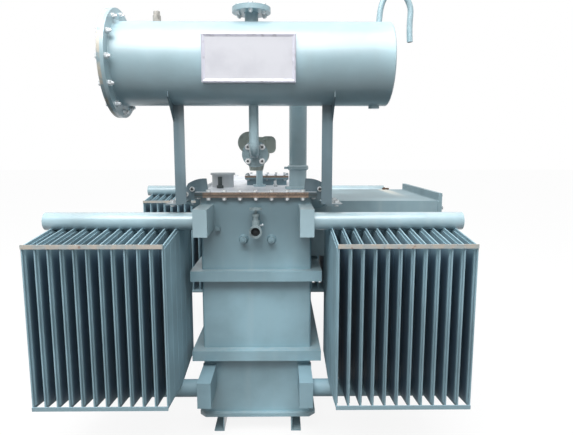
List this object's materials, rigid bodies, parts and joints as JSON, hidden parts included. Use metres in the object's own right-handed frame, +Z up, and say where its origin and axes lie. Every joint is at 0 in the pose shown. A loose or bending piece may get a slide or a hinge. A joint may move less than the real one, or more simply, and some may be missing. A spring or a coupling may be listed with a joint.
{
  "type": "distribution transformer",
  "caption": "Oil-filled distribution transformer: welded tank on skids, finned radiators at both ends, cylindrical conservator on posts, gas relay, vent pipe and side cable box.",
  "frame": {"origin": "on the ground under the middle of the tank, at the centre of the four bolt holes in the skids", "axes": "+Z up, +Y along the tank away from the conservator end, +X towards the cable box"},
  "size_m": [1.698, 2.058, 1.884],
  "materials": {
    "tank_paint": "gloss",
    "radiator_paint": "gloss",
    "conservator_paint": "gloss",
    "pipe_paint": "gloss",
    "lid_steel": "gloss",
    "flange_primer": "matte",
    "gasket_rubber": "matte",
    "relay_casting": "satin",
    "plate_white": "satin",
    "cable_box_paint": "gloss",
    "valve_metal": "satin",
    "plug_metal": "satin"
  },
  "bodies": {
    "root": {"air_plug": "plug_metal", "breather_pipe": "conservator_paint", "cable_box": "cable_box_paint", "cable_box_cover": "cable_box_paint", "cable_box_end_frame": "cable_box_paint", "conservator_cover": "conservator_paint", "conservator_end": "conservator_paint", "conservator_flange": "conservator_paint", "conservator_shell": "conservator_paint", "conservator_support_left": "tank_paint", "conservator_support_right": "tank_paint", "filler_cover": "conservator_paint", "filler_neck": "conservator_paint", "filter_valve": "valve_metal", "gas_relay": "relay_casting", "hatch_coaming": "lid_steel", "hatch_cover": "lid_steel", "lid_gasket": "gasket_rubber", "lifting_lugs_left": "tank_paint", "lifting_lugs_right": "tank_paint", "lower_band": "tank_paint", "lower_header_front_left": "radiator_paint", "lower_header_front_right": "radiator_paint", "lower_header_rear_left": "radiator_paint", "lower_header_rear_right": "radiator_paint", "nameplate": "plate_white", "radiator_fins_front_left": "radiator_paint", "radiator_fins_front_right": "radiator_paint", "radiator_fins_rear_left": "radiator_paint", "radiator_fins_rear_right": "radiator_paint", "radiator_ties_front_left": "radiator_paint", "radiator_ties_front_right": "radiator_paint", "radiator_ties_rear_left": "radiator_paint", "radiator_ties_rear_right": "radiator_paint", "relay_pipe": "pipe_paint", "riser_pipe": "pipe_paint", "skid_left": "tank_paint", "skid_right": "tank_paint", "tank_base_plate": "tank_paint", "tank_flange": "flange_primer", "tank_lid": "lid_steel", "tank_walls": "tank_paint", "tap_turret": "lid_steel", "tap_turret_cover": "lid_steel", "thermometer_pocket": "valve_metal", "upper_band": "tank_paint", "upper_header_front_left": "radiator_paint", "upper_header_front_right": "radiator_paint", "upper_header_rear_left": "radiator_paint", "upper_header_rear_right": "radiator_paint", "valve_handwheel": "valve_metal", "vent_cap": "pipe_paint", "vent_pipe": "pipe_paint"}
  },
  "joints": []
}
